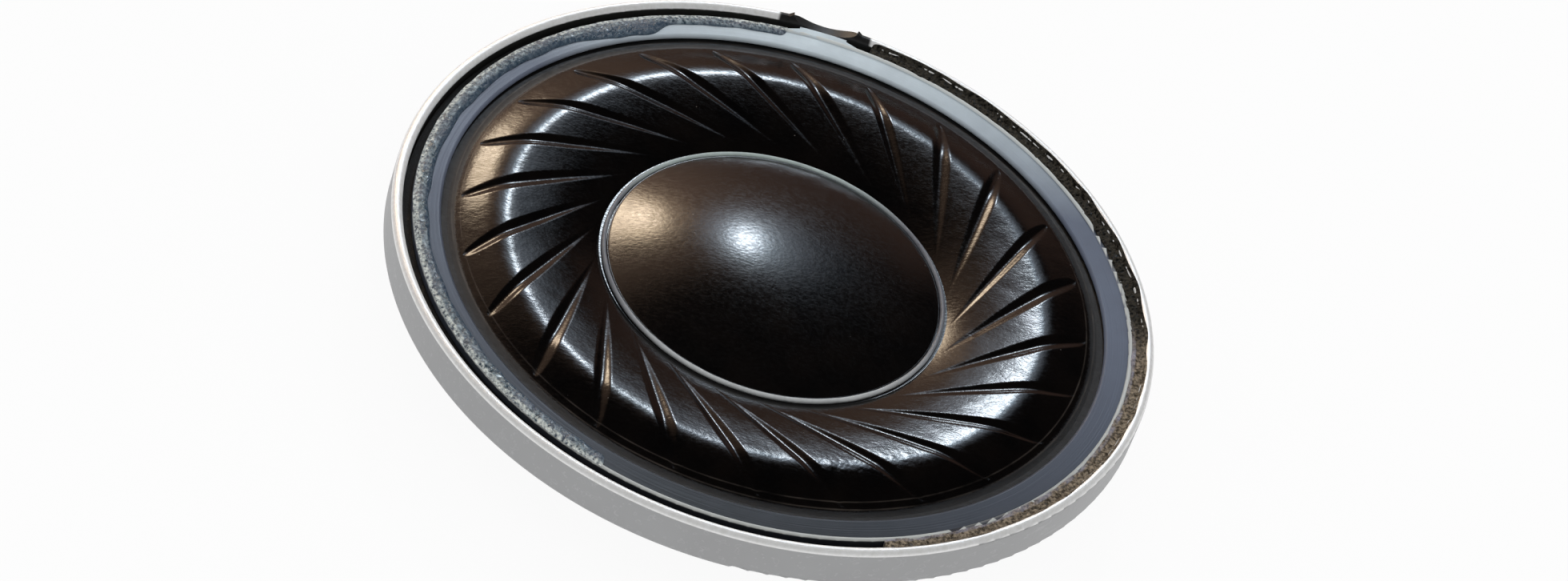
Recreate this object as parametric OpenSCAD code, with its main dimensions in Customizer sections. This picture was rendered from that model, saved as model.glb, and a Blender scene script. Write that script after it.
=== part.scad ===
// Miniature loudspeaker with a ribbed film diaphragm, in millimetres.
// Origin: centre of the yoke's flat back face. +Z points out of the front.
// +Y points to the notch in the rim, where the terminal board sits behind.

/* [Overall] */
// Outside diameter of the frame's rim
rim_d = 40; // [36:0.5:60]
// Height of the rim's top edge above the yoke's back face
rim_h = 5.4; // [4.5:0.1:8]
// Height of the side wall that shows outside
wall_h = 2.3; // [1.9:0.1:2.7]
// How far the diaphragm's middle travels each way
travel = 0.4; // [0.2:0.05:0.5]

/* [Frame] */
// Thickness of the pressed sheet
sheet_t = 0.6; // [0.4:0.05:0.7]
// Height of the floor's back face above the yoke's back face
floor_z = 1.4; // [1.1:0.1:1.6]
// Width of the ledge behind the side wall
ledge_w = 2.2; // [1.6:0.1:3]
// Width of the sloping step between ledge and floor
step_w = 1.3; // [0.8:0.1:2]
// Height of the collar that grips the yoke
collar_h = 1.5; // [0.9:0.1:1.9]
// Places round the floor: one is the terminal board's, the rest are vents
floor_places = 8; // [6:1:12]
// Metal left on each side of a vent
vent_land = 0.85; // [0.4:0.05:1.2]
// Width of the notch in the rim
notch_w = 3.5; // [1:0.1:6]
// Depth of the notch in the rim
notch_depth = 0.45; // [0.2:0.05:0.7]
// Height of the burr at each end of the notch
burr_h = 0.16; // [0.05:0.01:0.3]
// Width of a burr along the rim
burr_w = 0.7; // [0.3:0.05:1]
// Thickness of a burr
burr_t = 0.24; // [0.1:0.02:0.3]

/* [Front ring] */
// Open groove between the wall and the ring
groove_w = 0.5; // [0.3:0.05:0.8]
// Width of the ring's flat face and lip
ring_w = 1.5; // [1:0.1:2.5]
// Thickness of the ring
ring_t = 0.3; // [0.2:0.05:0.5]
// Depth of the ring's face below the rim's top edge
ring_drop = 0.35; // [0.2:0.05:0.6]
// Width of the raised lip round the outside of the ring
lip_w = 0.26; // [0.15:0.01:0.4]
// Width of the locating tab at the notch
tab_w = 2.6; // [1:0.1:4]
// How much wider the tab is where it leaves the ring
tab_flare = 1.2; // [0:0.1:2]

/* [Adhesive] */
// Radius of the bead that runs over the ring
bead_r = 0.29; // [0.15:0.01:0.32]
// Radius of the rounder blob at each end of the bead
bead_end_r = 0.36; // [0.33:0.01:0.4]
// Where the bead starts, round from +X
bead_from = 97; // [93:1:130]
// Where the bead ends
bead_to = 249; // [200:1:260]
// Where the bead has run into a drop
drop_at = 125; // [110:1:190]
// Radius of the drop
drop_r = 0.55; // [0.3:0.05:0.7]
// Where the filled stretch of the groove starts
fill_from = -66; // [-80:1:0]
// Where the filled stretch of the groove ends
fill_to = 82; // [40:1:83]
// Depth left open above the filled stretch
fill_drop = 0.22; // [0.1:0.01:0.4]

/* [Diaphragm] */
// Thickness of the moulded film
film_t = 0.1; // [0.08:0.01:0.2]
// Number of ribs pressed into the roll
rib_count = 24; // [12:1:24]
// Greatest depth of a rib
rib_depth = 0.12; // [0.1:0.01:0.4]
// Greatest half width of a rib
rib_w = 0.42; // [0.3:0.01:0.6]
// How gently a rib deepens behind its outer tip
rib_rise = 0.8; // [0.6:0.1:1.2]
// How early a rib fades towards its inner end
rib_fade = 1.7; // [1:0.1:2.5]
// How far inside the film's inner edge the circle lies that every rib's line touches
rib_touch_in = 0.2; // [0.1:0.05:3]
// Where one rib's outer end lies, round from +X
rib_phase = 4.6; // [0:0.1:14]
// Flat film that shows inside the ring
flat_w = 0.2; // [0.2:0.05:0.8]
// Width of the small groove outside the roll
moat_w = 0.6; // [0.2:0.05:0.8]
// Depth of the small groove outside the roll
moat_depth = 0.12; // [0:0.01:0.2]
// Distance from the roll's outer foot to its crest
crest_in = 2.8; // [2:0.1:4]
// Height of the crest above the flat film
crest_rise = 0.6; // [0.3:0.05:0.8]
// Depth of the inner seat below the flat film
seat_drop = 0.4; // [0.2:0.01:0.6]
// Diameter of the seam between roll and dome
seam_d = 17.76; // [14:0.02:20]
// Height of the dome above its own rim
dome_rise = 1.5; // [0.8:0.1:2.2]
// Width of the dome's flat rim
dome_rim_w = 0.15; // [0.15:0.01:0.4]
// Radius of the adhesive bead on the seam
seam_r = 0.14; // [0.08:0.01:0.16]

/* [Spacer] */
// Width of the spacer ring under the film
spacer_w = 1.9; // [1.2:0.1:2.4]
// Clearance between the spacer and the side wall
spacer_gap = 0.05; // [0.02:0.01:0.15]

/* [Voice coil] */
// Thickness of the coil former
former_t = 0.16; // [0.08:0.01:0.3]
// Diameter of the winding wire
wire_d = 0.19; // [0.1:0.01:0.25]
// Number of winding layers
coil_layers = 2; // [1:1:2]
// Number of turns in a layer
coil_turns = 8; // [4:1:9]
// Former left bare below the winding
former_tail = 0.1; // [0.05:0.05:0.3]

/* [Magnet system] */
// Room left over the pole plate when the diaphragm is fully in
cone_spare = 0.47; // [0.3:0.01:0.8]
// Thickness of the pole plate
plate_t = 0.75; // [0.5:0.05:1]
// Thickness of the yoke's base
yoke_base_t = 0.7; // [0.4:0.05:1]
// Thickness of the yoke's wall
yoke_wall_t = 0.6; // [0.4:0.05:1]
// Air gap between the pole plate and the former
gap_in = 0.25; // [0.15:0.01:0.4]
// Air gap between the winding and the yoke's wall
gap_out = 0.35; // [0.2:0.01:0.5]
// How far the magnet's edge stays inside the pole plate's
magnet_inset = 0.45; // [0.2:0.05:1]
// Thickness of the adhesive on each face of the magnet
bond_t = 0.05; // [0.02:0.01:0.1]
// Clearance between the yoke and the frame's collar
yoke_fit = 0.05; // [0.02:0.01:0.1]
// Width of the adhesive fillet behind the collar
fillet_w = 0.45; // [0.2:0.05:0.6]

/* [Terminals] */
// Gap between the yoke's glue fillet and the terminal board
board_gap = 0.76; // [0.1:0.02:1]
// Width of the terminal board, across X
board_w = 9; // [8:0.1:10]
// Length of the terminal board, along Y
board_l = 3.9; // [3:0.1:4]
// Thickness of the terminal board
board_t = 0.5; // [0.3:0.05:0.6]
// Radius of the board's corners
board_corner_r = 0.5; // [0.2:0.05:1]
// Distance between the two rivets
rivet_pitch = 6.9; // [6.6:0.1:7.4]
// Outside radius of a rivet's shank
rivet_r = 0.45; // [0.3:0.05:0.5]
// Radius of a rivet's head
rivet_head_r = 0.78; // [0.6:0.02:0.8]
// Thickness of a rivet's head
rivet_head_t = 0.16; // [0.1:0.01:0.2]
// Wall of the hollow rivet
rivet_wall = 0.15; // [0.1:0.01:0.2]
// Clearance round a rivet in its holes
rivet_gap = 0.05; // [0.02:0.01:0.1]
// Distance between the two lead holes
lead_pitch = 3; // [2.6:0.1:3.2]
// Width of a solder pad, across X
pad_w = 2; // [1.6:0.1:2.2]
// Length of a solder pad, along Y
pad_l = 2.6; // [2:0.1:2.8]
// Thickness of a solder pad
pad_t = 0.05; // [0.03:0.01:0.1]
// Radius of a solder joint
solder_r = 0.72; // [0.5:0.02:0.8]
// Height of a solder joint
solder_h = 0.42; // [0.2:0.02:0.5]

/* [Leads] */
// Diameter of a lead wire
lead_d = 0.24; // [0.12:0.02:0.3]
// Clearance round a lead in the board's hole
lead_gap = 0.1; // [0.05:0.01:0.2]
// Radius of a lead's hole in the frame
lead_hole_r = 0.5; // [0.4:0.05:0.6]
// Angle between +Y and the place where a lead leaves the coil
lead_angle = 14; // [8:1:25]
// Size of the glue fillet that anchors a lead on the former
anchor_r = 0.34; // [0.2:0.02:0.36]
// Angle round the former that each glue fillet covers
anchor_span = 6; // [3:1:10]
// Height of a lead's slack loop above the floor
loop_h = 1.1; // [0.9:0.05:1.4]
// Distance between a lead's middle and the collar's top edge
lead_clear = 0.4; // [0.25:0.05:0.6]

/* [Felt] */
// Thickness of the damping felt over the vents
felt_t = 0.3; // [0.1:0.05:0.6]
// Felt left off on each side of the board's middle, in degrees
felt_open = 22; // [20:1:30]

/* [Hidden] */
$fn = 96;

// The smallest overlap used where a cut runs past a face
past = 1;
// Air between pieces of adhesive and what they fill
film_air = 0.02;

// Radii, from the side wall inwards
rim_r = rim_d / 2;
wall_in_r = rim_r - sheet_t;
ring_or = wall_in_r - groove_w;
ring_ir = ring_or - ring_w;
ledge_in_r = wall_in_r - ledge_w;
floor_out_r = ledge_in_r - step_w;
flat_in_r = ring_ir - flat_w;
toe_r = flat_in_r - moat_w;
crest_r = toe_r - crest_in;
seam_mid_r = seam_d / 2;
former_or = seam_mid_r - film_air;
former_ir = former_or - former_t;
dome_or = seam_mid_r - seam_r;
seat_in_r = former_ir;
rib_touch_r = seat_in_r - rib_touch_in;
foot_r = seam_mid_r + 2 * seam_r;
coil_or = former_or + coil_layers * wire_d;
plate_r = former_ir - gap_in;
magnet_r = plate_r - magnet_inset;
yoke_ir = coil_or + gap_out;
yoke_or = yoke_ir + yoke_wall_t;
collar_ir = yoke_or + yoke_fit;
collar_or = collar_ir + sheet_t;

// Heights, from the rim's top edge downwards
ring_top_z = rim_h - ring_drop;
flange_z = ring_top_z - ring_t;
crest_z = flange_z + crest_rise;
seat_z = flange_z - seat_drop;
former_top_z = seat_z - film_t;
plate_top_z = former_top_z - travel - cone_spare;
plate_mid_z = plate_top_z - plate_t / 2;
coil_h = coil_turns * wire_d;
coil_z = plate_mid_z - coil_h / 2;
former_bottom_z = coil_z - former_tail;
ledge_z = rim_h - wall_h;
ledge_top_z = ledge_z + sheet_t;
floor_top_z = floor_z + sheet_t;
magnet_z = yoke_base_t + bond_t;
magnet_top_z = plate_top_z - plate_t - bond_t;

// Floor and terminals
floor_mid_r = (floor_out_r + collar_or) / 2;
vent_d = floor_out_r - collar_or - 2 * vent_land;
board_y = yoke_or + film_air + fillet_w + board_gap + board_l / 2;
board_z = floor_z - board_t;
pad_z = board_z - pad_t;
solder_z = pad_z - solder_h;
lead_r = lead_d / 2;
lead_end_z = solder_z + solder_h * 0.3;
board_hole_r = lead_r + lead_gap;

// Rings of the diaphragm's mesh, shared by its top and bottom
roll_steps_out = 4;
roll_steps_in = 5;
rib_tip_r = toe_r - 0.1;
rib_tail_r = foot_r + 0.55;
rib_least_w = 0.06;
pitch_a = 360 / rib_count;
crest_soft_out = 4;
crest_soft_in = 1.75;

// Outline helpers

// A sheet of thickness t bent along a path, with round bends and a round end
module bent_sheet(path, t) {
    for (i = [0 : len(path) - 2]) {
        a = path[i];
        b = path[i + 1];
        run = norm(b - a);
        translate(a)
            rotate(atan2(b[1] - a[1], b[0] - a[0]))
                translate([0, -t / 2])
                    square([run, t]);
    }
    for (i = [0 : len(path) - 2])
        translate(path[i])
            circle(d = t);
}

// A flat plate with round corners, centred, made of plain blocks and cylinders
module round_plate(w, l, t, r) {
    translate([-w / 2 + r, -l / 2, 0])
        cube([w - 2 * r, l, t]);
    translate([-w / 2, -l / 2 + r, 0])
        cube([w, l - 2 * r, t]);
    for (x = [-1, 1], y = [-1, 1])
        translate([x * (w / 2 - r), y * (l / 2 - r), 0])
            cylinder(r = r, h = t);
}

// Whatever it holds, once at each side of the Y axis and half a pitch away from it
module pair(pitch, y) {
    for (side = [-1, 1])
        translate([side * pitch / 2, y, 0])
            children();
}

// A plain ring
module ring(outer_r, inner_r, z, h) {
    translate([0, 0, z])
        difference() {
            cylinder(r = outer_r, h = h);
            translate([0, 0, -past])
                cylinder(r = inner_r, h = h + 2 * past);
        }
}

// Frame

// Centre line of the pressed sheet, from the collar out to the rim's top edge
function frame_path() = [
    [rim_r - sheet_t / 2, rim_h - sheet_t / 2],
    [rim_r - sheet_t / 2, ledge_z + sheet_t / 2],
    [ledge_in_r, ledge_z + sheet_t / 2],
    [floor_out_r, floor_z + sheet_t / 2],
    [collar_ir + sheet_t / 2, floor_z + sheet_t / 2],
    [collar_ir + sheet_t / 2, floor_z + collar_h]
];

// Radius of the curve at the bottom of the notch
function notch_r() = (pow(notch_w / 2, 2) + pow(notch_depth, 2)) / (2 * notch_depth);

module notch_cut() {
    translate([0, rim_r - sheet_t - past, rim_h - notch_depth + notch_r()])
        rotate([-90, 0, 0])
            cylinder(r = notch_r(), h = sheet_t + 2 * past);
}

// A burr is a thin pointed fin that stands up where the notch was cut. Each is
// flat, and lies along the rim at its end of the notch.
module burrs() {
    root_z = rim_h - sheet_t / 2;
    for (side = [0, 1])
        mirror([side, 0, 0])
            rotate(-asin(notch_w / 2 / rim_r))
                translate([0, rim_r - (sheet_t - burr_t) / 2, 0])
                    rotate([90, 0, 0])
                        linear_extrude(height = burr_t)
                            polygon([[-burr_w / 10, root_z], [burr_w / 10, rim_h + burr_h],
                                     [burr_w, root_z]]);
}

module frame() {
    color([0.72, 0.73, 0.75]) {
        difference() {
            rotate_extrude()
                bent_sheet(frame_path(), sheet_t);
            notch_cut();
            for (i = [1 : floor_places - 1])
                rotate(90 + i * 360 / floor_places)
                    translate([floor_mid_r, 0, floor_z - past])
                        cylinder(d = vent_d, h = sheet_t + 2 * past);
            pair(rivet_pitch, board_y)
                translate([0, 0, floor_z - past])
                    cylinder(r = rivet_r + rivet_gap, h = sheet_t + 2 * past);
            pair(lead_pitch, board_y)
                translate([0, 0, floor_z - past])
                    cylinder(r = lead_hole_r, h = sheet_t + 2 * past);
        }
        burrs();
    }
}

// Front ring and what fixes it

module front_ring() {
    color([0.45, 0.50, 0.58]) {
        rotate_extrude() {
            translate([ring_ir + ring_t / 2, flange_z])
                square([ring_w - ring_t / 2, ring_t]);
            translate([ring_ir + ring_t / 2, flange_z + ring_t / 2])
                circle(d = ring_t);
            translate([ring_or - lip_w / 2, ring_top_z])
                circle(d = lip_w);
        }
        intersection() {
            ring(wall_in_r - spacer_gap, ring_or - lip_w, flange_z, ring_t);
            translate([0, 0, flange_z])
                linear_extrude(height = ring_t)
                    polygon([[-tab_w / 2 - tab_flare, 0], [-tab_w / 2 - tab_flare, ring_or - lip_w],
                             [-tab_w / 2, ring_or + groove_w / 2], [-tab_w / 2, rim_r],
                             [tab_w / 2, rim_r], [tab_w / 2, ring_or + groove_w / 2],
                             [tab_w / 2 + tab_flare, ring_or - lip_w], [tab_w / 2 + tab_flare, 0]]);
        }
    }
}

// A cap of a ball of radius r whose middle lies sunk below a flat face at z = 0
module ball_cap(r, sunk) {
    rotate_extrude()
        intersection() {
            translate([0, -sunk])
                circle(r = r);
            square([r, r]);
        }
}

// A bead of glue along the ring, with round ends and one drop that ran inwards
module ring_adhesive() {
    bead_mid_r = ring_or - lip_w - film_air - bead_r;
    color([0.42, 0.52, 0.56])
        translate([0, 0, ring_top_z]) {
            rotate([0, 0, bead_from])
                rotate_extrude(angle = bead_to - bead_from)
                    intersection() {
                        translate([bead_mid_r, 0])
                            circle(r = bead_r);
                        square([ring_or, bead_r]);
                    }
            for (a = [bead_from, bead_to])
                rotate(a)
                    translate([bead_mid_r - bead_end_r + bead_r, 0, 0])
                        ball_cap(bead_end_r, bead_end_r - bead_r);
            rotate(drop_at)
                translate([ring_ir + drop_r * 0.75, 0, 0])
                    ball_cap(drop_r, drop_r * 0.5);
        }
}

// Dark glue that fills the groove along the other half
module groove_adhesive() {
    top_z = rim_h - fill_drop;
    color([0.16, 0.13, 0.11])
        rotate([0, 0, fill_from])
            rotate_extrude(angle = fill_to - fill_from)
                difference() {
                    translate([ring_or + film_air, flange_z - film_t + film_air])
                        square([groove_w - 2 * film_air, top_z - flange_z + film_t]);
                    translate([ring_or + groove_w / 2, top_z + groove_w * 0.3])
                        circle(r = groove_w * 0.45);
                }
}

module spacer_ring() {
    color([0.10, 0.10, 0.11])
        ring(wall_in_r - spacer_gap, wall_in_r - spacer_gap - spacer_w,
             ledge_top_z, flange_z - film_t - ledge_top_z);
}

// Diaphragm

// Fall of a rounded slope at distance x from the crest: flat at the crest and
// nearly straight further down; it reaches drop at x = w, and soft sets how
// slowly the crest turns into the slope
function slope_fall(x, w, drop, soft) =
    drop * (sqrt(1 + pow(x / soft, 2)) - 1) / (sqrt(1 + pow(w / soft, 2)) - 1);

// Height of the film's top face at radius r, without the ribs
function film_z(r) =
    r >= flat_in_r ? flange_z
    : r >= toe_r ? flange_z - moat_depth * sin(180 * (flat_in_r - r) / moat_w)
    : r >= crest_r ? crest_z - slope_fall(r - crest_r, crest_in, crest_rise, crest_soft_out)
    : r >= foot_r ? crest_z - slope_fall(crest_r - r, crest_r - foot_r,
                                         crest_z - seat_z, crest_soft_in)
    : seat_z;

// Share of a rib's full depth at radius r: a sharp tip outside, deepest a
// third of the way in, and a long thin tail
function rib_share(r) =
    let (
        q = (rib_tip_r - r) / (rib_tip_r - rib_tail_r),
        deepest = rib_rise / (rib_rise + rib_fade)
    )
    q <= 0 || q >= 1 ? 0
    : pow(q / deepest, rib_rise) * pow((1 - q) / (1 - deepest), rib_fade);

// Angle by which a straight rib has turned at radius r
function rib_turn(r) = acos(min(1, rib_touch_r / r)) - acos(rib_touch_r / rib_tip_r);

// Half the angle that a rib takes up at radius r
function rib_half_angle(r) =
    max(rib_least_w, rib_w * sqrt(rib_share(r))) / sqrt(pow(r, 2) - pow(rib_touch_r, 2))
        * 180 / PI;

// The film's rings from outside to inside
function film_rings() = concat(
    [ring_or - spacer_gap, flat_in_r, flat_in_r - moat_w / 2, toe_r],
    [rib_tip_r],
    [for (i = [1 : roll_steps_out]) rib_tip_r - (rib_tip_r - crest_r) * i / roll_steps_out],
    [for (i = [1 : roll_steps_in - 1]) crest_r - (crest_r - rib_tail_r) * i / roll_steps_in],
    [rib_tail_r, foot_r, seat_in_r]
);

// The columns of one rib's pitch, in order round the film: each is [share of
// the rib's half angle, share of the plain film beside it, share of its depth]
function rib_columns() = [
    [-1, -1, 0], [-1, -0.5, 0], [-1, 0, 0], [-0.5, 0, 0.42],
    [0, 0, 1], [0.5, 0, 0.42], [1, 0, 0], [1, 0.5, 0]
];

// One point of the film on ring radius r, in column c of rib i, lowered by down
function film_point(r, i, c, down) =
    let (
        half = rib_half_angle(r),
        plain = pitch_a / 2 - half,
        a = rib_phase + i * pitch_a + rib_turn(r) + c[0] * half + c[1] * plain,
        z = film_z(r) - rib_depth * rib_share(r) * c[2]
    )
    [r * cos(a), r * sin(a), z - down];

function film_layer(down) = [
    for (r = film_rings())
        for (i = [0 : rib_count - 1])
            for (c = rib_columns())
                film_point(r, i, c, down)
];

// Two triangles between ring j and the next, at column k of n; base is the
// first point of that layer, and flip turns them to face down
function film_quad(base, j, k, n, flip) =
    let (
        a = base + j * n + k,
        b = base + j * n + (k + 1) % n,
        c = base + (j + 1) * n + (k + 1) % n,
        d = base + (j + 1) * n + k
    )
    flip ? [[a, b, c], [a, c, d]] : [[a, c, b], [a, d, c]];

// Two triangles of the narrow edge wall between the layers along ring j
function edge_quad(lower, j, k, n, flip) =
    let (
        a = j * n + k,
        b = j * n + (k + 1) % n,
        c = lower + b,
        d = lower + a
    )
    flip ? [[a, c, b], [a, d, c]] : [[a, b, c], [a, c, d]];

// The ribbed roll, its outer flange and its inner seat, moulded in one film
module surround() {
    rings = len(film_rings());
    n = rib_count * len(rib_columns());
    lower = rings * n;
    faces = concat(
        [for (j = [0 : rings - 2], k = [0 : n - 1]) each film_quad(0, j, k, n, false)],
        [for (j = [0 : rings - 2], k = [0 : n - 1]) each film_quad(lower, j, k, n, true)],
        [for (k = [0 : n - 1]) each edge_quad(lower, 0, k, n, false)],
        [for (k = [0 : n - 1]) each edge_quad(lower, rings - 1, k, n, true)]
    );
    color([0.13, 0.09, 0.08])
        polyhedron(points = concat(film_layer(0), film_layer(film_t)), faces = faces);
}

// Domed cap with a flat rim that lies on the surround's inner seat
module dome() {
    cap_w = dome_or - dome_rim_w;
    cap_r = (pow(cap_w, 2) + pow(dome_rise, 2)) / (2 * dome_rise);
    centre_z = seat_z + film_t + dome_rise - cap_r;
    color([0.13, 0.09, 0.08])
        rotate_extrude() {
            intersection() {
                difference() {
                    translate([0, centre_z])
                        circle(r = cap_r);
                    translate([0, centre_z])
                        circle(r = cap_r - film_t);
                }
                translate([0, seat_z])
                    square([dome_or, dome_rise + film_t + past]);
            }
            translate([cap_w - film_t, seat_z])
                square([dome_or - cap_w + film_t, film_t]);
        }
}

// The bead covers the dome's edge: straight sides as high as the film, a round top
module seam_adhesive() {
    color([0.62, 0.62, 0.66])
        rotate_extrude() {
            translate([dome_or, seat_z])
                square([2 * seam_r, film_t]);
            intersection() {
                translate([seam_mid_r, seat_z + film_t])
                    circle(r = seam_r);
                translate([dome_or, seat_z + film_t])
                    square([2 * seam_r, 2 * seam_r]);
            }
        }
}

// Voice coil

module coil_former() {
    color([0.80, 0.62, 0.35])
        ring(former_or, former_ir, former_bottom_z, former_top_z - former_bottom_z);
}

// Copper winding: the outline shows each turn of the outer layer
module voice_coil() {
    color([0.75, 0.38, 0.20])
        rotate_extrude() {
            translate([former_or, coil_z])
                square([(coil_layers - 0.5) * wire_d, coil_h]);
            for (i = [0 : coil_turns - 1])
                translate([coil_or - wire_d / 2, coil_z + (i + 0.5) * wire_d])
                    circle(d = wire_d);
        }
}

// Short fillets of glue that hold the leads on the former, above the winding
module lead_anchors() {
    color([0.85, 0.80, 0.62])
        for (side = [-1, 1])
            rotate([0, 0, 90 + side * lead_angle - anchor_span / 2])
                translate([0, 0, coil_z + coil_h])
                    rotate_extrude(angle = anchor_span)
                        intersection() {
                            translate([former_or, 0])
                                circle(r = anchor_r);
                            translate([former_or, 0])
                                square([anchor_r, anchor_r]);
                        }
}

// Leads

// The route of a lead on the +X side: it leaves its glue fillet outwards, clears
// the collar, sags in a slack loop under the roll, then drops through the frame
// and the board
function lead_route() =
    let (
        start_r = former_or + anchor_r + film_air,
        start_z = coil_z + coil_h + lead_r + film_air,
        x0 = start_r * sin(lead_angle),
        y0 = start_r * cos(lead_angle),
        x1 = lead_pitch / 2,
        over_z = max(start_z - 0.2, floor_z + collar_h + lead_clear),
        loop_z = floor_top_z + loop_h
    )
    [
        [x0, y0, start_z],
        [x0 + 0.15, y0 + 0.5, start_z + 0.02],
        [x0 + 0.25, y0 + 1.1, over_z],
        [x0 + 0.1, y0 + 1.8, loop_z + 0.25],
        [(x0 + x1) / 2 + 0.1, board_y - 1.1, loop_z + 0.08],
        [x1 + 0.1, board_y - 0.45, loop_z],
        [x1, board_y - 0.1, loop_z - 0.3],
        [x1, board_y, loop_z - 0.7],
        [x1, board_y, floor_z],
        [x1, board_y, lead_end_z]
    ];

// A smooth curve through the points of a path, steps pieces between two points
function smooth_path(p, steps) = concat(
    [for (i = [0 : len(p) - 2], s = [0 : steps - 1])
        let (
            a = p[max(0, i - 1)],
            b = p[i],
            c = p[i + 1],
            d = p[min(len(p) - 1, i + 2)],
            t = s / steps
        )
        0.5 * (2 * b + (c - a) * t + (2 * a - 5 * b + 4 * c - d) * t * t
               + (3 * b - a - 3 * c + d) * t * t * t)],
    [p[len(p) - 1]]
);

function unit(v) = v / norm(v);

// A round tube of the given number of sides along a path
module tube(path, r, sides) {
    last = len(path) - 1;
    points = [
        for (i = [0 : last])
            let (
                dir = unit(path[min(last, i + 1)] - path[max(0, i - 1)]),
                side = unit(cross(dir, [1, 0.2, 0])),
                up = cross(side, dir)
            )
            for (k = [0 : sides - 1])
                path[i] + r * (cos(360 * k / sides) * side + sin(360 * k / sides) * up)
    ];
    walls = [
        for (i = [0 : last - 1], k = [0 : sides - 1])
            let (
                a = i * sides + k,
                b = i * sides + (k + 1) % sides
            )
            each [[a, b, b + sides], [a, b + sides, a + sides]]
    ];
    first_end = [for (k = [0 : sides - 1]) sides - 1 - k];
    last_end = [for (k = [0 : sides - 1]) last * sides + k];
    polyhedron(points = points, faces = concat(walls, [first_end, last_end]));
}

module lead_wire() {
    color([0.70, 0.36, 0.20])
        tube(smooth_path(lead_route(), 2), lead_r, 8);
}

module lead_wire_right() {
    lead_wire();
}

module lead_wire_left() {
    mirror([1, 0, 0])
        lead_wire();
}

// Magnet system

module pole_plate() {
    color([0.66, 0.67, 0.69])
        translate([0, 0, plate_top_z - plate_t])
            cylinder(r = plate_r, h = plate_t);
}

module magnet() {
    color([0.50, 0.50, 0.53])
        translate([0, 0, magnet_z])
            cylinder(r = magnet_r, h = magnet_top_z - magnet_z);
}

module plate_bond() {
    color([0.30, 0.45, 0.40])
        translate([0, 0, magnet_top_z])
            cylinder(r = magnet_r - magnet_inset / 2, h = bond_t);
}

module magnet_bond() {
    color([0.30, 0.45, 0.40])
        translate([0, 0, yoke_base_t])
            cylinder(r = magnet_r - magnet_inset / 2, h = bond_t);
}

module yoke() {
    edge = yoke_wall_t / 4;
    color([0.70, 0.71, 0.74])
        rotate_extrude()
            difference() {
                square([yoke_or, plate_top_z]);
                translate([-past, yoke_base_t])
                    square([yoke_ir + past, plate_top_z]);
                translate([yoke_or, 0])
                    rotate(45)
                        square(edge * 2, center = true);
            }
}

// Glue fillet in the corner between the yoke and the back of the floor
module yoke_adhesive() {
    color([0.55, 0.50, 0.30])
        rotate_extrude()
            difference() {
                translate([yoke_or + film_air, floor_z - fillet_w - film_air])
                    square([fillet_w, fillet_w]);
                translate([yoke_or + film_air + fillet_w, floor_z - film_air - fillet_w])
                    circle(r = fillet_w * 0.85);
            }
}

module damping_felt() {
    color([0.15, 0.15, 0.16])
        rotate([0, 0, 90 + felt_open])
            rotate_extrude(angle = 360 - 2 * felt_open)
                translate([collar_or + vent_land / 2, floor_top_z])
                    square([floor_out_r - collar_or - vent_land, felt_t]);
}

// Terminals

module terminal_board() {
    color([0.50, 0.38, 0.20])
        difference() {
            translate([0, board_y, board_z])
                round_plate(board_w, board_l, board_t, board_corner_r);
            pair(rivet_pitch, board_y)
                translate([0, 0, board_z - past])
                    cylinder(r = rivet_r + rivet_gap, h = board_t + 2 * past);
            pair(lead_pitch, board_y)
                translate([0, 0, board_z - past])
                    cylinder(r = board_hole_r, h = board_t + 2 * past);
        }
}

module solder_pads() {
    color([0.80, 0.52, 0.30])
        difference() {
            pair(lead_pitch, board_y)
                translate([0, 0, pad_z])
                    round_plate(pad_w, pad_l, pad_t, board_corner_r / 2);
            pair(lead_pitch, board_y)
                translate([0, 0, pad_z - past])
                    cylinder(r = board_hole_r, h = pad_t + 2 * past);
        }
}

// Hollow rivets that clamp the board to the floor
module terminal_rivets() {
    stack_z = board_z - rivet_head_t;
    stack_h = floor_top_z - board_z + 2 * rivet_head_t;
    color([0.80, 0.72, 0.45])
        pair(rivet_pitch, board_y)
            difference() {
                union() {
                    translate([0, 0, stack_z])
                        cylinder(r = rivet_r, h = stack_h);
                    translate([0, 0, stack_z])
                        cylinder(r = rivet_head_r, h = rivet_head_t);
                    translate([0, 0, floor_top_z])
                        cylinder(r = rivet_head_r, h = rivet_head_t);
                }
                translate([0, 0, stack_z - past])
                    cylinder(r = rivet_r - rivet_wall, h = stack_h + 2 * past);
            }
}

// Caps of solder on the pads, each round the end of its lead
module solder_joints() {
    ball_r = (pow(solder_r, 2) + pow(solder_h, 2)) / (2 * solder_h);
    color([0.75, 0.76, 0.78])
        pair(lead_pitch, board_y)
            difference() {
                intersection() {
                    translate([0, 0, solder_z + ball_r])
                        sphere(r = ball_r);
                    translate([0, 0, solder_z - past])
                        cylinder(r = solder_r + past, h = past + solder_h);
                }
                translate([0, 0, lead_end_z])
                    cylinder(r = lead_r, h = solder_h);
            }
}

frame();
front_ring();
ring_adhesive();
groove_adhesive();
spacer_ring();
surround();
dome();
seam_adhesive();
coil_former();
voice_coil();
lead_anchors();
lead_wire_left();
lead_wire_right();
pole_plate();
magnet();
plate_bond();
magnet_bond();
yoke();
yoke_adhesive();
damping_felt();
terminal_board();
solder_pads();
terminal_rivets();
solder_joints();
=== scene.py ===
"""Looks of a miniature loudspeaker: a ribbed film roll with a domed cap, held by a steel ring
in a pressed steel frame. Sizes are in millimetres until a mesh is written, and in metres there.
The origin is the middle of the yoke's back, +Z points out of the front and +Y to the notch."""
import math

import bpy
import numpy as np
from mathutils import Matrix, Vector


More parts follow.
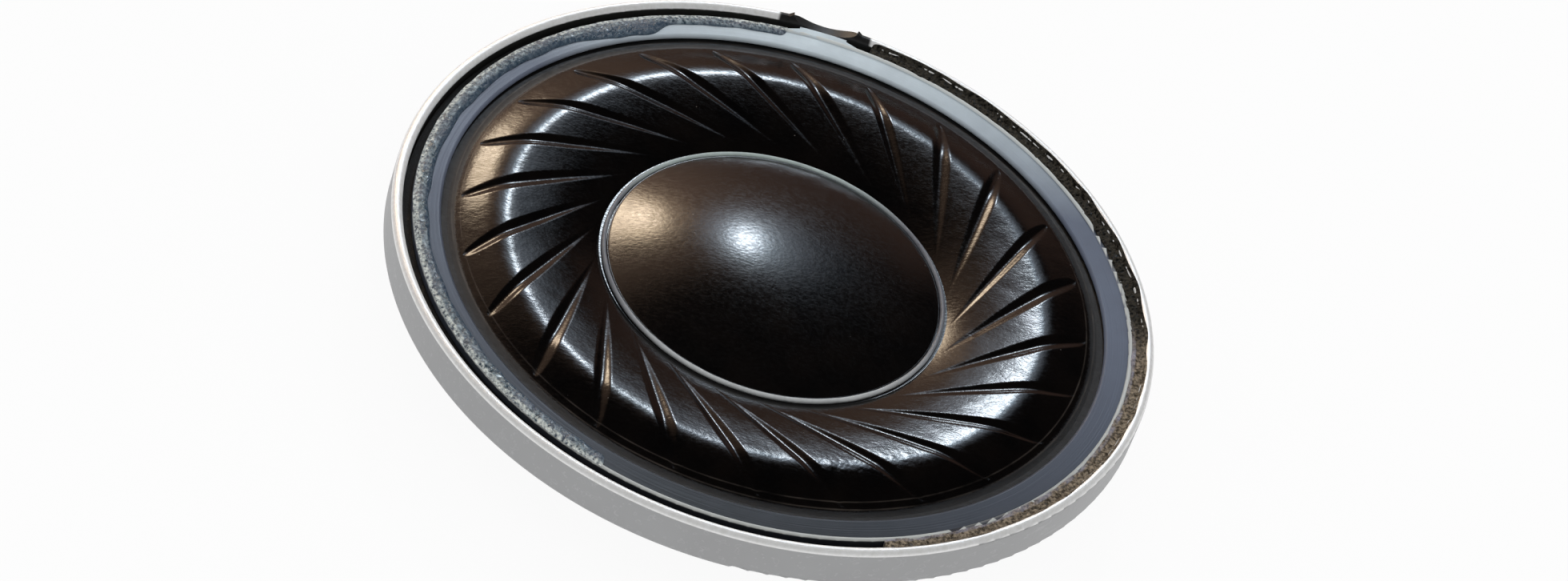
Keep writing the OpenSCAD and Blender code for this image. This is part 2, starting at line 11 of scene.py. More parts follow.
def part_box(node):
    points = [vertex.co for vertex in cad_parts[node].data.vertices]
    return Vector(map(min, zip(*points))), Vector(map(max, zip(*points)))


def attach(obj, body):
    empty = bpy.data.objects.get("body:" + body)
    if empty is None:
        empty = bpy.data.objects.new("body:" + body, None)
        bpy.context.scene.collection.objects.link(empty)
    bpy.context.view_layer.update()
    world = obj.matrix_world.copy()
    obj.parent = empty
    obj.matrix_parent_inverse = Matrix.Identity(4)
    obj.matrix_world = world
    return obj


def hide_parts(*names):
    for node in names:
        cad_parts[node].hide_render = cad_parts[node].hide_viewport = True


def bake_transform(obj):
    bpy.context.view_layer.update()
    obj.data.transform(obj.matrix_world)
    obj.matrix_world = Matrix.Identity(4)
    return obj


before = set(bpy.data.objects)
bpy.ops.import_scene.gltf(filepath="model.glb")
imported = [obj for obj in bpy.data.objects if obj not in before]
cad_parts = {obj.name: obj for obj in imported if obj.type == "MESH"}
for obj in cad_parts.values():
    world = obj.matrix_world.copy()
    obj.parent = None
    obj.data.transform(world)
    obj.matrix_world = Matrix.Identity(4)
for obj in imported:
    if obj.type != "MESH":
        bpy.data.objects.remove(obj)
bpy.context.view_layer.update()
scene = bpy.context.scene

MM = 0.001


def box_mm(node):
    """Lowest and highest corner of a CAD node, in millimetres."""
    low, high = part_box(node)
    return np.array(low) / MM, np.array(high) / MM


# Camera

# Width of the picture in pixels
IMAGE_W = 1960
# Height of the rim's top edge, whose middle the camera is placed from
RIM_Z = 5.4
CAMERA_ELEVATION = math.radians(41.2)
CAMERA_AZIMUTH = math.radians(-5.9)
CAMERA_ROLL = math.radians(20.0)
CAMERA_DISTANCE = 247.0
# How far the line of sight passes the middle of the rim, to the right and up in the picture
AIM_RIGHT = 0.25
AIM_UP = -1.48
# Pixels per unit of slope away from the line of sight
FOCAL_PX = 6088
SENSOR_W = 36.0


def make_camera():
    """Camera on a ray from the rim's middle: its back vector is (sin a cos e, -cos a cos e, sin e)
    for azimuth a and elevation e, and its right and up vectors are turned by the roll."""
    a, e = CAMERA_AZIMUTH, CAMERA_ELEVATION
    back = Vector((math.sin(a) * math.cos(e), -math.cos(a) * math.cos(e), math.sin(e)))
    level = Vector((math.cos(a), math.sin(a), 0))
    above = back.cross(level)
    right = level * math.cos(CAMERA_ROLL) + above * math.sin(CAMERA_ROLL)
    up = above * math.cos(CAMERA_ROLL) - level * math.sin(CAMERA_ROLL)
    place = Vector((0, 0, RIM_Z)) + right * AIM_RIGHT + up * AIM_UP + back * CAMERA_DISTANCE
    data = bpy.data.cameras.new("camera")
    data.sensor_width = SENSOR_W
    data.lens = FOCAL_PX / IMAGE_W * SENSOR_W
    data.clip_start = 0.01
    data.clip_end = 20
    camera = bpy.data.objects.new("camera", data)
    turn = Matrix((right, up, back)).transposed().to_4x4()
    camera.matrix_world = Matrix.Translation(place * MM) @ turn
    scene.collection.objects.link(camera)
    scene.camera = camera


make_camera()

# Sizes of the moulded film and of what lies round it

ring_low, ring_high = box_mm("front_ring")
dome_low, dome_high = box_mm("dome")
FILM_OUT_R, _, CREST_Z = box_mm("surround")[1]
SEAM_OUT_R = box_mm("seam_adhesive")[1][0]
RING_Z = box_mm("ring_adhesive")[0][2]
FLANGE_Z = ring_low[2]
SEAT_Z = dome_low[2]
DOME_R = dome_high[0]
RING_OUT_R = ring_high[0]

# Clamp ring with its raised lip, the rim's wall inside and its rounded edge, and the notch
RING_IN_R = 17.4
LIP_W = 0.26
LIP_Z = 5.18
WALL_IN_R = 19.4
RIM_ROUND = 0.3
NOTCH_HALF = 2.55

# Film: its roll rises at the toe, has its crest, and comes down at the foot beside the seam
FILM_T = 0.1
TOE_R = 17.05
CREST_R = 14.15
FOOT_R = SEAM_OUT_R + 0.14
SEAT_R = 8.72
OUTER_BEND = 2.9
CREST_SOFT = 0.38
FOOT_SHARE = 0.40
SECTORS = 12

# A patch of the roll that is slightly crumpled
CRUMPLE_ANGLE = math.radians(-64)
CRUMPLE_R = 14.4

# Ribs: straight and pointed, along lines that touch a circle of radius RIB_TOUCH_R
RIB_COUNT = 24
RIB_PITCH = 2 * math.pi / RIB_COUNT
RIB_PHASE = math.radians(4.6)
RIB_DEPTH = 0.13
RIB_W = 0.50
RIB_RISE = 0.8
RIB_FADE = 1.45
RIB_TIP_R = 16.45
RIB_TAIL_R = FOOT_R + 0.2
RIB_TOUCH_R = 8.5

# Dome: its flat rim, and how its top leans with x and with y
DOME_RIM_W = 0.05
DOME_LEAN_X = 0.059
DOME_LEAN_Y = 0.018

# Glue: the line on the seam, the bead on the ring with its one drop, the fill of the groove
SEAM_H = 0.11
BEAD_FROM = math.radians(96)
BEAD_TO = math.radians(250)
DROP_AT = math.radians(123)
BEAD_W = 0.84
BEAD_H = 0.25
FILL_FROM = math.radians(-66)
FILL_TO = math.radians(82)
GLUE_STEPS = 1500
OUTLINE_STEPS = 32

# Wire of the winding, and the two leads
WIRE_D = 0.19
LEAD_D = 0.24
LEAD_ANGLE = math.radians(14)
LEAD_PITCH = 3.0


# Mesh helpers


def make_mesh(name, points, quads, triangles=()):
    """A mesh object from points in millimetres and from arrays of four-cornered and
    three-cornered faces, all smooth."""
    mesh = bpy.data.meshes.new(name)
    points = np.asarray(points, float) * MM
    quads = np.asarray(quads, int).reshape(-1, 4)
    triangles = np.asarray(triangles, int).reshape(-1, 3)
    corners = np.concatenate([quads.ravel(), triangles.ravel()])
    sizes = np.concatenate([np.full(len(quads), 4), np.full(len(triangles), 3)])
    mesh.vertices.add(len(points))
    mesh.vertices.foreach_set("co", points.ravel())
    mesh.loops.add(len(corners))
    mesh.loops.foreach_set("vertex_index", corners)
    mesh.polygons.add(len(sizes))
    mesh.polygons.foreach_set("loop_start", np.concatenate([[0], np.cumsum(sizes)[:-1]]))
    mesh.polygons.foreach_set("use_smooth", np.ones(len(sizes), bool))
    mesh.update(calc_edges=True)
    made = bpy.data.objects.new(name, mesh)
    scene.collection.objects.link(made)
    return made


def grid_quads(rows, columns, closed=False):
    """Faces of a grid whose point in row i and column j has the number i * columns + j. A closed
    grid joins its last column to its first."""
    i = np.arange(rows - 1)[:, None]
    j = np.arange(columns if closed else columns - 1)[None, :]
    after = (j + 1) % columns
    return np.stack([i * columns + j, i * columns + after, (i + 1) * columns + after,
                     (i + 1) * columns + j], -1).reshape(-1, 4)


def fan(pole, first, count):
    """Triangles from the point numbered pole to each two neighbours of a closed run of points,
    which has count points from the number first on."""
    j = np.arange(count)
    return np.stack([np.full(count, pole), first + j, first + (j + 1) % count], -1)


def edge_wall(fine, coarse, stops):
    """Triangles between an edge of a fine grid and that of a coarse one below it, whose points
    lie under the fine points numbered stops: each fine step goes to the nearer coarse point, and
    each coarse step to the fine point over its middle."""
    step = np.arange(len(fine) - 1)
    middle = (stops[:-1] + stops[1:]) // 2
    under = np.searchsorted(stops, step, side="right") - 1
    near = np.where(step < middle[under], under, under + 1)
    down = np.stack([fine[:-1], fine[1:], coarse[near]], -1)
    return np.concatenate([down, np.stack([fine[middle], coarse[1:], coarse[:-1]], -1)])


def waves(x, y, size, seed, count=18):
    """Smooth bumps of about -1 to 1: the sum of count plane waves over 2 sqrt(count / 2), each a
    sine of the distance along a direction drawn at random, with a wavelength between 0.6 and 1.6
    times size."""
    draw = np.random.default_rng(seed)
    total = np.zeros(np.broadcast(x, y).shape)
    for _ in range(count):
        heading = draw.uniform(0, 2 * math.pi)
        along = x * math.cos(heading) + y * math.sin(heading)
        length = size * draw.uniform(0.6, 1.6)
        total += np.sin(2 * math.pi * along / length + draw.uniform(0, 2 * math.pi))
    return total / math.sqrt(count / 2) / 2


def smooth_step(x, low, high):
    """0 below low, 1 above high, and 3q^2 - 2q^3 of the share q in between."""
    q = np.clip((x - low) / (high - low), 0, 1)
    return q * q * (3 - 2 * q)


def round_ends(angle, start, stop, radius, length):
    """Share of a bead's full section at an angle: 1 but for a length at either end, where it falls
    as a quarter circle does, nearly to 0."""
    q = np.clip(np.minimum(angle - start, stop - angle) * radius / length, 0, 1)
    return np.sqrt(np.clip(1 - (1 - q) ** 2, 0.003, 1))


# The ribbed roll


def outer_fall(x):
    """Fall of the outer slope at distance x from the crest: its whole height times the share that
    1 - cos(bend q) has of its value at q = 1, where q is x over the slope's width. It is steepest
    part of the way down, and eases off towards the toe."""
    q = x / (TOE_R - CREST_R)
    return (CREST_Z - FLANGE_Z) * (1 - np.cos(OUTER_BEND * q)) / (1 - math.cos(OUTER_BEND))


def inner_fall(x):
    """Fall of the inner slope at distance x from the crest: most of its height by the share that
    sqrt(1 + (x / soft)^2) - 1 has of its value at the full width, which is a tight crest and a
    straight slope, and the rest by the third power of x over the width, which steepens the
    foot."""
    width = CREST_R - FOOT_R
    whole = math.sqrt(1 + (width / CREST_SOFT) ** 2) - 1
    straight = (np.sqrt(1 + (x / CREST_SOFT) ** 2) - 1) / whole
    return (CREST_Z - SEAT_Z) * ((1 - FOOT_SHARE) * straight + FOOT_SHARE * (x / width) ** 3)


def roll_height(r):
    """Height of the film's top face at radius r without ribs: a flat flange, the outer slope up to
    the crest, the inner one down to the foot, and a flat seat."""
    return np.select([r >= TOE_R, r >= CREST_R, r >= FOOT_R],
                     [FLANGE_Z, CREST_Z - outer_fall(r - CREST_R),
                      CREST_Z - inner_fall(CREST_R - r)], SEAT_Z)


def rib_share(r):
    """Share of a rib's full depth at radius r. With q from 0 at the outer tip to 1 at the inner
    tail, it is q^rise (1 - q)^fade, scaled to 1 at its peak."""
    peak = RIB_RISE / (RIB_RISE + RIB_FADE)
    q = np.clip((RIB_TIP_R - r) / (RIB_TIP_R - RIB_TAIL_R), 0, 1)
    return (q / peak) ** RIB_RISE * ((1 - q) / (1 - peak)) ** RIB_FADE


def rib_profile(u):
    """Cross-section of a rib at u half widths from its line: the square of the cosine of a
    quarter turn times u, so both its bottom and its edges are rounded and its walls are steepest
    half-way up."""
    return np.cos(np.pi / 2 * np.clip(u, -1, 1)) ** 2


def rib_drop(r, angle):
    """Depth of the ribs at radius r and angle. Each rib lies on a straight line that touches the
    circle of radius RIB_TOUCH_R, so at radius r it has turned by acos(touch / r) less the same
    at its tip, and a sideways distance d there is an angle of d / sqrt(r^2 - touch^2). Ribs differ
    a little in depth and width."""
    draw = np.random.default_rng(5)
    deep, wide, lean = (most * draw.uniform(-1, 1, RIB_COUNT) for most in (0.12, 0.10, 0.004))
    turn = np.arccos(np.minimum(1, RIB_TOUCH_R / r)) - math.acos(RIB_TOUCH_R / RIB_TIP_R)
    from_first = (angle - RIB_PHASE - turn) / RIB_PITCH
    index = np.round(from_first).astype(int)
    rib = index % RIB_COUNT
    share = rib_share(r)
    aside = (from_first - index) * RIB_PITCH - lean[rib]
    reach = np.sqrt(np.maximum(r * r - RIB_TOUCH_R ** 2, 0.01))
    half = np.maximum(0.02, RIB_W * np.sqrt(share)) * (1 + wide[rib])
    return RIB_DEPTH * share * (1 + deep[rib]) * rib_profile(aside * reach / half)


def film_height(r, angle):
    """Height of the ribbed film's top face: the roll less its ribs, with faint unevenness that
    fades out on the flat flange and on the seat, and with small dents in the crumpled patch."""
    x, y = r * np.cos(angle), r * np.sin(angle)
    on_roll = smooth_step(r, FOOT_R + 0.2, FOOT_R + 1.5) * smooth_step(-r, -TOE_R, -TOE_R + 0.8)
    faint = 0.010 * waves(x, y, 5.0, 11) + 0.0022 * waves(x, y, 1.3, 12)
    off = np.abs(np.angle(np.exp(1j * (angle - CRUMPLE_ANGLE))))
    crumpled = smooth_step(-off, -0.30, -0.10) * smooth_step(-np.abs(r - CRUMPLE_R), -1.3, -0.4)
    dents = 0.0045 * waves(x, y, 0.62, 13) + 0.0016 * waves(x, y, 0.30, 14)
    return roll_height(r) - rib_drop(r, angle) + on_roll * faint + crumpled * dents


def film_radii():
    """Radii of the film's rows, from its outer edge inwards: few where the ring and the seam hide
    it, close together over the toe, the ribs and the foot."""
    return np.concatenate([
        [FILM_OUT_R, 18.0],
        np.linspace(RING_IN_R, RIB_TIP_R, 34, endpoint=False),
        np.linspace(RIB_TIP_R, FOOT_R + 0.4, 120, endpoint=False),
        np.linspace(FOOT_R + 0.4, FOOT_R - 0.1, 12, endpoint=False),
        [9.0, SEAT_R]])


def film_sector(number, per_sector=144, skip=3):
    """One sector of the film as a closed sheet: a fine grid over radius and angle on top, every
    third row and column of it a film's thickness below, and walls between their edges. Its
    corner normals come from the height's own slope, so that two sectors meet without a line."""
    radii = film_radii()
    keep = np.unique(np.concatenate([np.arange(0, len(radii), skip), [len(radii) - 1]]))
    span = 2 * math.pi / SECTORS
    angles = (number + np.linspace(0, 1, per_sector + 1)) * span
    r, a = np.meshgrid(radii, angles, indexing="ij")
    z = film_height(r, a)
    step, turn = 1e-3, 1e-3 / 9
    slope_r = (film_height(r + step, a) - film_height(r - step, a)) / (2 * step)
    slope_a = (film_height(r, a + turn) - film_height(r, a - turn)) / (2 * turn) / r
    cos, sin = np.cos(a), np.sin(a)
    normal = np.stack([-slope_r * cos + slope_a * sin, -slope_r * sin - slope_a * cos,
                       np.ones_like(r)], -1)
    normal /= np.linalg.norm(normal, axis=-1, keepdims=True)
    top = np.stack([r * cos, r * sin, z], -1)
    columns = np.arange(0, per_sector + 1, skip)
    below = top[np.ix_(keep, columns)] - [0, 0, FILM_T]
    fine = np.arange(r.size).reshape(r.shape)
    coarse = r.size + np.arange(len(keep) * len(columns)).reshape(len(keep), len(columns))
    quads = np.concatenate([grid_quads(*fine.shape), grid_quads(*coarse.shape)[:, ::-1] + r.size])
    walls = np.concatenate([edge_wall(fine[0], coarse[0], columns)[:, ::-1],
                            edge_wall(fine[-1], coarse[-1], columns),
                            edge_wall(fine[:, 0], coarse[:, 0], keep),
                            edge_wall(fine[:, -1], coarse[:, -1], keep)[:, ::-1]])
    points = np.concatenate([top.reshape(-1, 3), below.reshape(-1, 3)])
    piece = make_mesh(f"film_roll_{number + 1:02d}", points, quads, walls)
    mesh = piece.data
    flat = np.empty(len(mesh.polygons) * 3, np.float32)
    mesh.polygons.foreach_get("normal", flat)
    wall_normals = np.repeat(flat.reshape(-1, 3)[-len(walls):], 3, axis=0)
    vertex_normals = np.concatenate([normal.reshape(-1, 3),
                                     -normal[np.ix_(keep, columns)].reshape(-1, 3)])
    mesh.normals_split_custom_set(np.concatenate([vertex_normals[quads.ravel()], wall_normals]))
    return piece


def make_roll(finish):
    """The roll, made in sectors, each a closed piece of its own."""
    for number in range(SECTORS):
        piece = film_sector(number)
        piece.data.materials.append(finish)
        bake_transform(piece)
        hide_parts("surround")


# Round pieces on the film and the ring


def revolved_sheet(name, radii, heights, thickness, steps, lift):
    """A closed sheet turned round Z: its top face has the given heights at the given radii from
    the middle outwards, plus the lift at x and y, and its bottom face lies the thickness lower.
    The middle is a fan."""
    a = np.linspace(0, 2 * math.pi, steps, endpoint=False)
    r, z = radii[1:, None], heights[1:, None]
    x, y = r * np.cos(a), r * np.sin(a)
    top = np.stack([x, y, z + lift(x, y)], -1).reshape(-1, 3)
    low = top - [0, 0, thickness]
    rows = len(radii) - 1
    poles = [[0, 0, heights[0]], [0, 0, heights[0] - thickness]]
    points = np.concatenate([top, low, poles])
    size = rows * steps
    under = grid_quads(rows, steps, True)
    j = np.arange(steps)
    after = (j + 1) % steps
    edge = np.stack([size - steps + j, 2 * size - steps + j, 2 * size - steps + after,
                     size - steps + after], -1)
    fans = np.concatenate([fan(2 * size, 0, steps), fan(2 * size + 1, size, steps)[:, ::-1]])
    return make_mesh(name, points, np.concatenate([under[:, ::-1], under + size, edge]), fans)


def make_dome(finish):
    """Domed cap: part of a ball of radius (w^2 + h^2) / 2h over a circle of radius w, with height
    h, and a narrow flat rim round it that lies on the seat."""
    width = DOME_R - DOME_RIM_W
    rise = dome_high[2] - dome_low[2] - FILM_T
    ball = (width ** 2 + rise ** 2) / (2 * rise)
    inner = np.linspace(0, width, 90)
    cap = np.sqrt(ball ** 2 - inner ** 2) - ball + rise
    radii = np.concatenate([inner, [width + 0.02, DOME_R]])
    heights = dome_low[2] + FILM_T + np.concatenate([cap, [0, 0]])

    def lean(x, y):
        """Sideways lean of the top: -(a x + b y) (1 - r^2 / w^2)^2, which is 0 in the middle and
        at the edge."""
        inside = np.clip(1 - (x * x + y * y) / width ** 2, 0, 1)
        return -(DOME_LEAN_X * x + DOME_LEAN_Y * y) * inside ** 2

    piece = revolved_sheet("dome_cap", radii, heights, FILM_T, 360, lean)
    piece.data.materials.append(finish)
    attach(piece, "cone")
    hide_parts("dome")


def swept_ring(name, angles, outline):
    """A closed solid along part of a circle. outline gives, for the arrays angle and turn round
    the section, the radius and height of its surface. Its ends are closed by fans. Faces look
    outwards for an outline that runs up from its inner edge."""
    a, turn = np.meshgrid(angles, np.linspace(0, 2 * math.pi, OUTLINE_STEPS, endpoint=False),
                          indexing="ij")
    r, z = outline(a, turn)
    points = np.stack([r * np.cos(a), r * np.sin(a), z], -1)
    rows, steps = a.shape
    whole = abs(angles[-1] - angles[0] - 2 * math.pi) < 1e-6
    if whole:
        points = points[:-1]
        quads = grid_quads(rows, steps, True) % ((rows - 1) * steps)
        return make_mesh(name, points.reshape(-1, 3), quads)
    ends = points[[0, -1]].mean(axis=1)
    size = rows * steps
    fans = np.concatenate([fan(size, 0, steps)[:, ::-1], fan(size + 1, size - steps, steps)])
    return make_mesh(name, np.concatenate([points.reshape(-1, 3), ends]),
                     grid_quads(rows, steps, True), fans)


def make_seam(finish):
    """The glue line round the dome: a low bead over the dome's rim and the seat, whose height and
    width wander a little."""
    inner, outer = DOME_R + 0.04, SEAM_OUT_R + 0.01
    base = SEAT_Z + FILM_T

    def outline(a, turn):
        """Half an ellipse, cosine across and sine up, on a flat base."""
        x, y = np.cos(a) * 9, np.sin(a) * 9
        width = (outer - inner) / 2 * (1 + 0.08 * waves(x, y, 2.2, 21))
        height = SEAM_H * (1 + 0.10 * waves(x, y, 1.4, 22))
        r = (outer + inner) / 2 - width * np.cos(turn)
        under = np.where(r > DOME_R, SEAT_Z, base)
        return r, np.where(np.sin(turn) > 0, base + height * np.sin(turn), under + 0.003)

    piece = swept_ring("seam_glue_line", np.linspace(0, 2 * math.pi, 721), outline)
    piece.data.materials.append(finish)
    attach(piece, "cone")
    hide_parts("seam_adhesive")


def make_bead(finish):
    """The bead of glue on the ring: it lies on the ring and laps over its lip, its inner edge runs
    in towards one drop, and its surface is lumpy."""
    outer = RING_OUT_R - 0.03

    def outline(a, turn):
        """Cosine across and sine up, with rounded ends, and lumps added along both. The underside
        follows the ring's top and its lip, a little lower there than the top face may go."""
        x, y = np.cos(a) * outer, np.sin(a) * outer
        ends = round_ends(a, BEAD_FROM, BEAD_TO, outer, 0.5)
        past = a - DROP_AT
        run_in = np.where(past < 0, smooth_step(past, math.radians(-7), 0),
                          smooth_step(-past, math.radians(-15), 0))
        thin = smooth_step(-a, -math.radians(120), -math.radians(116))
        width = (BEAD_W - 0.22 * thin + 0.50 * run_in) * (1 + 0.08 * waves(x, y, 3.0, 31)) * ends
        height = (BEAD_H + 0.05 * waves(x, y, 2.4, 32)) * ends * (1 - 0.25 * run_in - 0.3 * thin)
        middle = outer - width / 2 + 0.02 * waves(x, y, 1.7, 33) * ends
        across = np.cos(turn)
        r = middle + width / 2 * across
        lumps = 0.030 * waves(x + r * 3.1, y + across, 0.62, 34) * ends
        sunk = np.where(np.sin(turn) > 0, 0.004, 0.008)
        under = np.where(r > RING_OUT_R - LIP_W, LIP_Z, RING_Z) - sunk
        top = RING_Z + np.maximum(np.sin(turn), 0) * (height + lumps)
        return r, np.maximum(under, top)

    piece = swept_ring("ring_glue_bead", np.linspace(BEAD_FROM, BEAD_TO, GLUE_STEPS), outline)
    piece.data.flip_normals()
    piece.data.materials.append(finish)
    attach(piece, "basket")
    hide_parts("ring_adhesive")


def make_fill(finish):
    """The dark glue in the groove: it fills it, laps over the ring's lip and up the rim, and its
    top is crumbly."""
    fill_low, fill_high = box_mm("groove_adhesive")

    def outline(a, turn):
        """A rounded block: cosine to the power 0.6 across and sine to the power 0.7 up, with crumbs
        on its upper half. Over the rim it lies on the rim's rounded edge, and its lower half keeps
        between ring and wall."""
        x, y = np.cos(a) * 19, np.sin(a) * 19
        across = np.sign(np.cos(turn)) * np.abs(np.cos(turn)) ** 0.6
        up = np.sign(np.sin(turn)) * np.abs(np.sin(turn)) ** 0.7
        lap = 0.10 + 0.08 * waves(x, y, 2.1, 41)
        ends = round_ends(a, FILL_FROM, FILL_TO, 19, 0.6)
        lip_side = RING_OUT_R - lap * ends
        rim_side = WALL_IN_R + (0.18 + 0.04 * waves(x, y, 2.6, 45)) * ends
        upper = up > 0
        r = (lip_side + rim_side) / 2 + across * (rim_side - lip_side) / 2
        crumbs = 0.050 * waves(x + r * 2.7, y + r, 0.55, 42) + 0.030 * waves(x + r, y, 0.24, 43)
        top_z = fill_high[2] - 0.02 + 0.05 * waves(x, y, 3.3, 44)
        mid_z = RING_Z + 0.10
        z = np.where(upper, mid_z + up * (top_z - mid_z + crumbs * ends) * ends,
                     mid_z + up * (mid_z - fill_low[2]))
        into_rim = RIM_ROUND - (r - WALL_IN_R)
        on_rim = RIM_Z - RIM_ROUND + np.sqrt(np.maximum(RIM_ROUND ** 2 - into_rim ** 2, 0))
        z = np.where(upper & (r > WALL_IN_R), np.maximum(z, on_rim + 0.015), z)
        r = np.where(upper, r, np.clip(r, RING_OUT_R + 0.02, WALL_IN_R - 0.02))
        return r, z

    piece = swept_ring("groove_glue", np.linspace(FILL_FROM, FILL_TO, GLUE_STEPS), outline)
    piece.data.flip_normals()
    piece.data.materials.append(finish)
    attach(piece, "basket")
    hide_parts("groove_adhesive")


# Leads


def smooth_path(points, steps):
    """Smooth curve through the points: between two of them, the cubic whose slope at each is half
    the way from the point before to the point after."""
    p = np.asarray(points, float)
    before = np.vstack([p[:1], p[:-2]])
    after = np.vstack([p[2:], p[-1:]])
    t = (np.arange(steps) / steps)[None, :, None]
    a, b, c, d = before[:, None], p[:-1, None], p[1:, None], after[:, None]
    curve = 0.5 * (2 * b + (c - a) * t + (2 * a - 5 * b + 4 * c - d) * t ** 2
                   + (3 * b - a - 3 * c + d) * t ** 3)
    return np.vstack([curve.reshape(-1, 3), p[-1:]])


def tube(name, path, radius, sides=16):
    """A round tube along a path: at each of its points, a circle square to the way that the path
    runs there, whose first radius stays level."""
    way = np.gradient(path, axis=0)
    way /= np.linalg.norm(way, axis=1, keepdims=True)
    side = np.cross(way, [1, 0.2, 0])
    side /= np.linalg.norm(side, axis=1, keepdims=True)
    up = np.cross(side, way)
    turn = np.linspace(0, 2 * math.pi, sides, endpoint=False)[None, :, None]
    rings = path[:, None] + radius * (np.cos(turn) * side[:, None] + np.sin(turn) * up[:, None])
    count = len(path)
    points = np.concatenate([rings.reshape(-1, 3), path[[0, -1]]])
    fans = np.concatenate([fan(count * sides, 0, sides),
                           fan(count * sides + 1, (count - 1) * sides, sides)[:, ::-1]])
    return make_mesh(name, points, grid_quads(count, sides, True)[:, ::-1], fans)


def make_leads(finish):
    """Two fine wires from the coil to the terminal board, by the route of the CAD model: out of
    the glue on the former, over the collar, down in a slack loop, and through frame and board."""
    coil_top = box_mm("voice_coil")[1][2]
    former_r = box_mm("coil_former")[1][0]
    board_low, board_high = box_mm("terminal_board")
    board_y = (board_low[1] + board_high[1]) / 2
    floor_z = board_high[2]
    start_r, start_z = former_r + 0.36, coil_top + LEAD_D / 2 + 0.02
    x0, y0 = start_r * math.sin(LEAD_ANGLE), start_r * math.cos(LEAD_ANGLE)
    x1 = LEAD_PITCH / 2
    loop_z = floor_z + 1.7
    route = [
        [x0, y0, start_z],
        [x0 + 0.15, y0 + 0.5, start_z + 0.02],
        [x0 + 0.25, y0 + 1.1, start_z - 0.2],
        [x0 + 0.1, y0 + 1.8, loop_z + 0.25],
        [(x0 + x1) / 2 + 0.1, board_y - 1.1, loop_z + 0.08],
        [x1 + 0.1, board_y - 0.45, loop_z],
        [x1, board_y - 0.1, loop_z - 0.3],
        [x1, board_y, loop_z - 0.7],
        [x1, board_y, floor_z],
        [x1, board_y, box_mm("solder_joints")[0][2] + 0.126],
    ]
    path = smooth_path(route, 10)
    for name, side in (("lead_left", -1), ("lead_right", 1)):
        points = path * [side, 1, 1]
        piece = tube(name, points if side > 0 else points[::-1], LEAD_D / 2)
        piece.data.materials.append(finish)
        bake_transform(piece)
        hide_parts(name.replace("lead_", "lead_wire_"))


# Node helpers


def add_node(tree, kind, inputs=None, **settings):
    """A shader node with its settings, and with its inputs set to values or joined to sockets."""
    made = tree.nodes.new("ShaderNode" + kind)
    for key, value in settings.items():
        setattr(made, key, value)
    for key, value in (inputs or {}).items():
        if isinstance(value, bpy.types.NodeSocket):
            tree.links.new(value, made.inputs[key])
        else:
            made.inputs[key].default_value = value
    return made


def calc(tree, operation, first, second=0.0):
    """One sum on two numbers or sockets."""
    return add_node(tree, "Math", {0: first, 1: second}, operation=operation).outputs[0]


def times(tree, first, second):
    """Product of two numbers or sockets."""
    return calc(tree, "MULTIPLY", first, second)


def spread(tree, value, low, high, new_low=0.0, new_high=1.0, smooth=False):
    """Moves a value from the range low to high to a new range, and holds it inside."""
    kind = "SMOOTHSTEP" if smooth else "LINEAR"
    inputs = {"Value": value, "From Min": low, "From Max": high, "To Min": new_low,
              "To Max": new_high}
    return add_node(tree, "MapRange", inputs, interpolation_type=kind).outputs[0]


def mix(tree, share, first, second):
    """A colour between two, each a triple of numbers or a socket, by a share."""
    colours = [c if isinstance(c, bpy.types.NodeSocket) else (*c, 1) for c in (first, second)]
    inputs = {0: share, 6: colours[0], 7: colours[1]}
    return add_node(tree, "Mix", inputs, data_type="RGBA").outputs[2]


def new_group(name, outputs=("Share",), placed=True, **inputs):
    """An empty node group: its outputs are numbers, and so are its inputs, with their values. A
    placed group also has the vector input Place."""
    tree = bpy.data.node_groups.new(name, "ShaderNodeTree")
    if placed:
        tree.interface.new_socket("Place", in_out="INPUT", socket_type="NodeSocketVector")
    for label, value in inputs.items():
        socket = tree.interface.new_socket(label, in_out="INPUT", socket_type="NodeSocketFloat")
        socket.default_value = value
    for label in outputs:
        tree.interface.new_socket(label, in_out="OUTPUT", socket_type="NodeSocketFloat")
    return tree, tree.nodes.new("NodeGroupInput").outputs, tree.nodes.new("NodeGroupOutput")


def group_round():
    """Where a point lies round the axis: its radius and height in millimetres, its angle from +X
    in degrees."""
    tree, given, out = new_group("round the axis", outputs=("Radius", "Angle", "Height"))
    parts = add_node(tree, "SeparateXYZ", {0: given["Place"]}).outputs
    square = calc(tree, "ADD", *[calc(tree, "POWER", part, 2.0) for part in parts[:2]])
    angle = calc(tree, "ARCTAN2", parts[1], parts[0])
    tree.links.new(times(tree, calc(tree, "SQRT", square), 1000.0), out.inputs["Radius"])
    tree.links.new(times(tree, angle, 180 / math.pi), out.inputs["Angle"])
    tree.links.new(times(tree, parts[2], 1000.0), out.inputs["Height"])
    return tree


def group_window():
    """1 while a value lies between two bounds, 0 outside, with soft edges."""
    tree, given, out = new_group("window", placed=False, Value=0, From=0, To=1, Soft=0.1)
    shares = []
    for bound in ("From", "To"):
        low = calc(tree, "SUBTRACT", given[bound], given["Soft"])
        high = calc(tree, "ADD", given[bound], given["Soft"])
        shares.append(spread(tree, given["Value"], low, high, smooth=True))
    tree.links.new(calc(tree, "SUBTRACT", shares[0], shares[1]), out.inputs["Share"])
    return tree


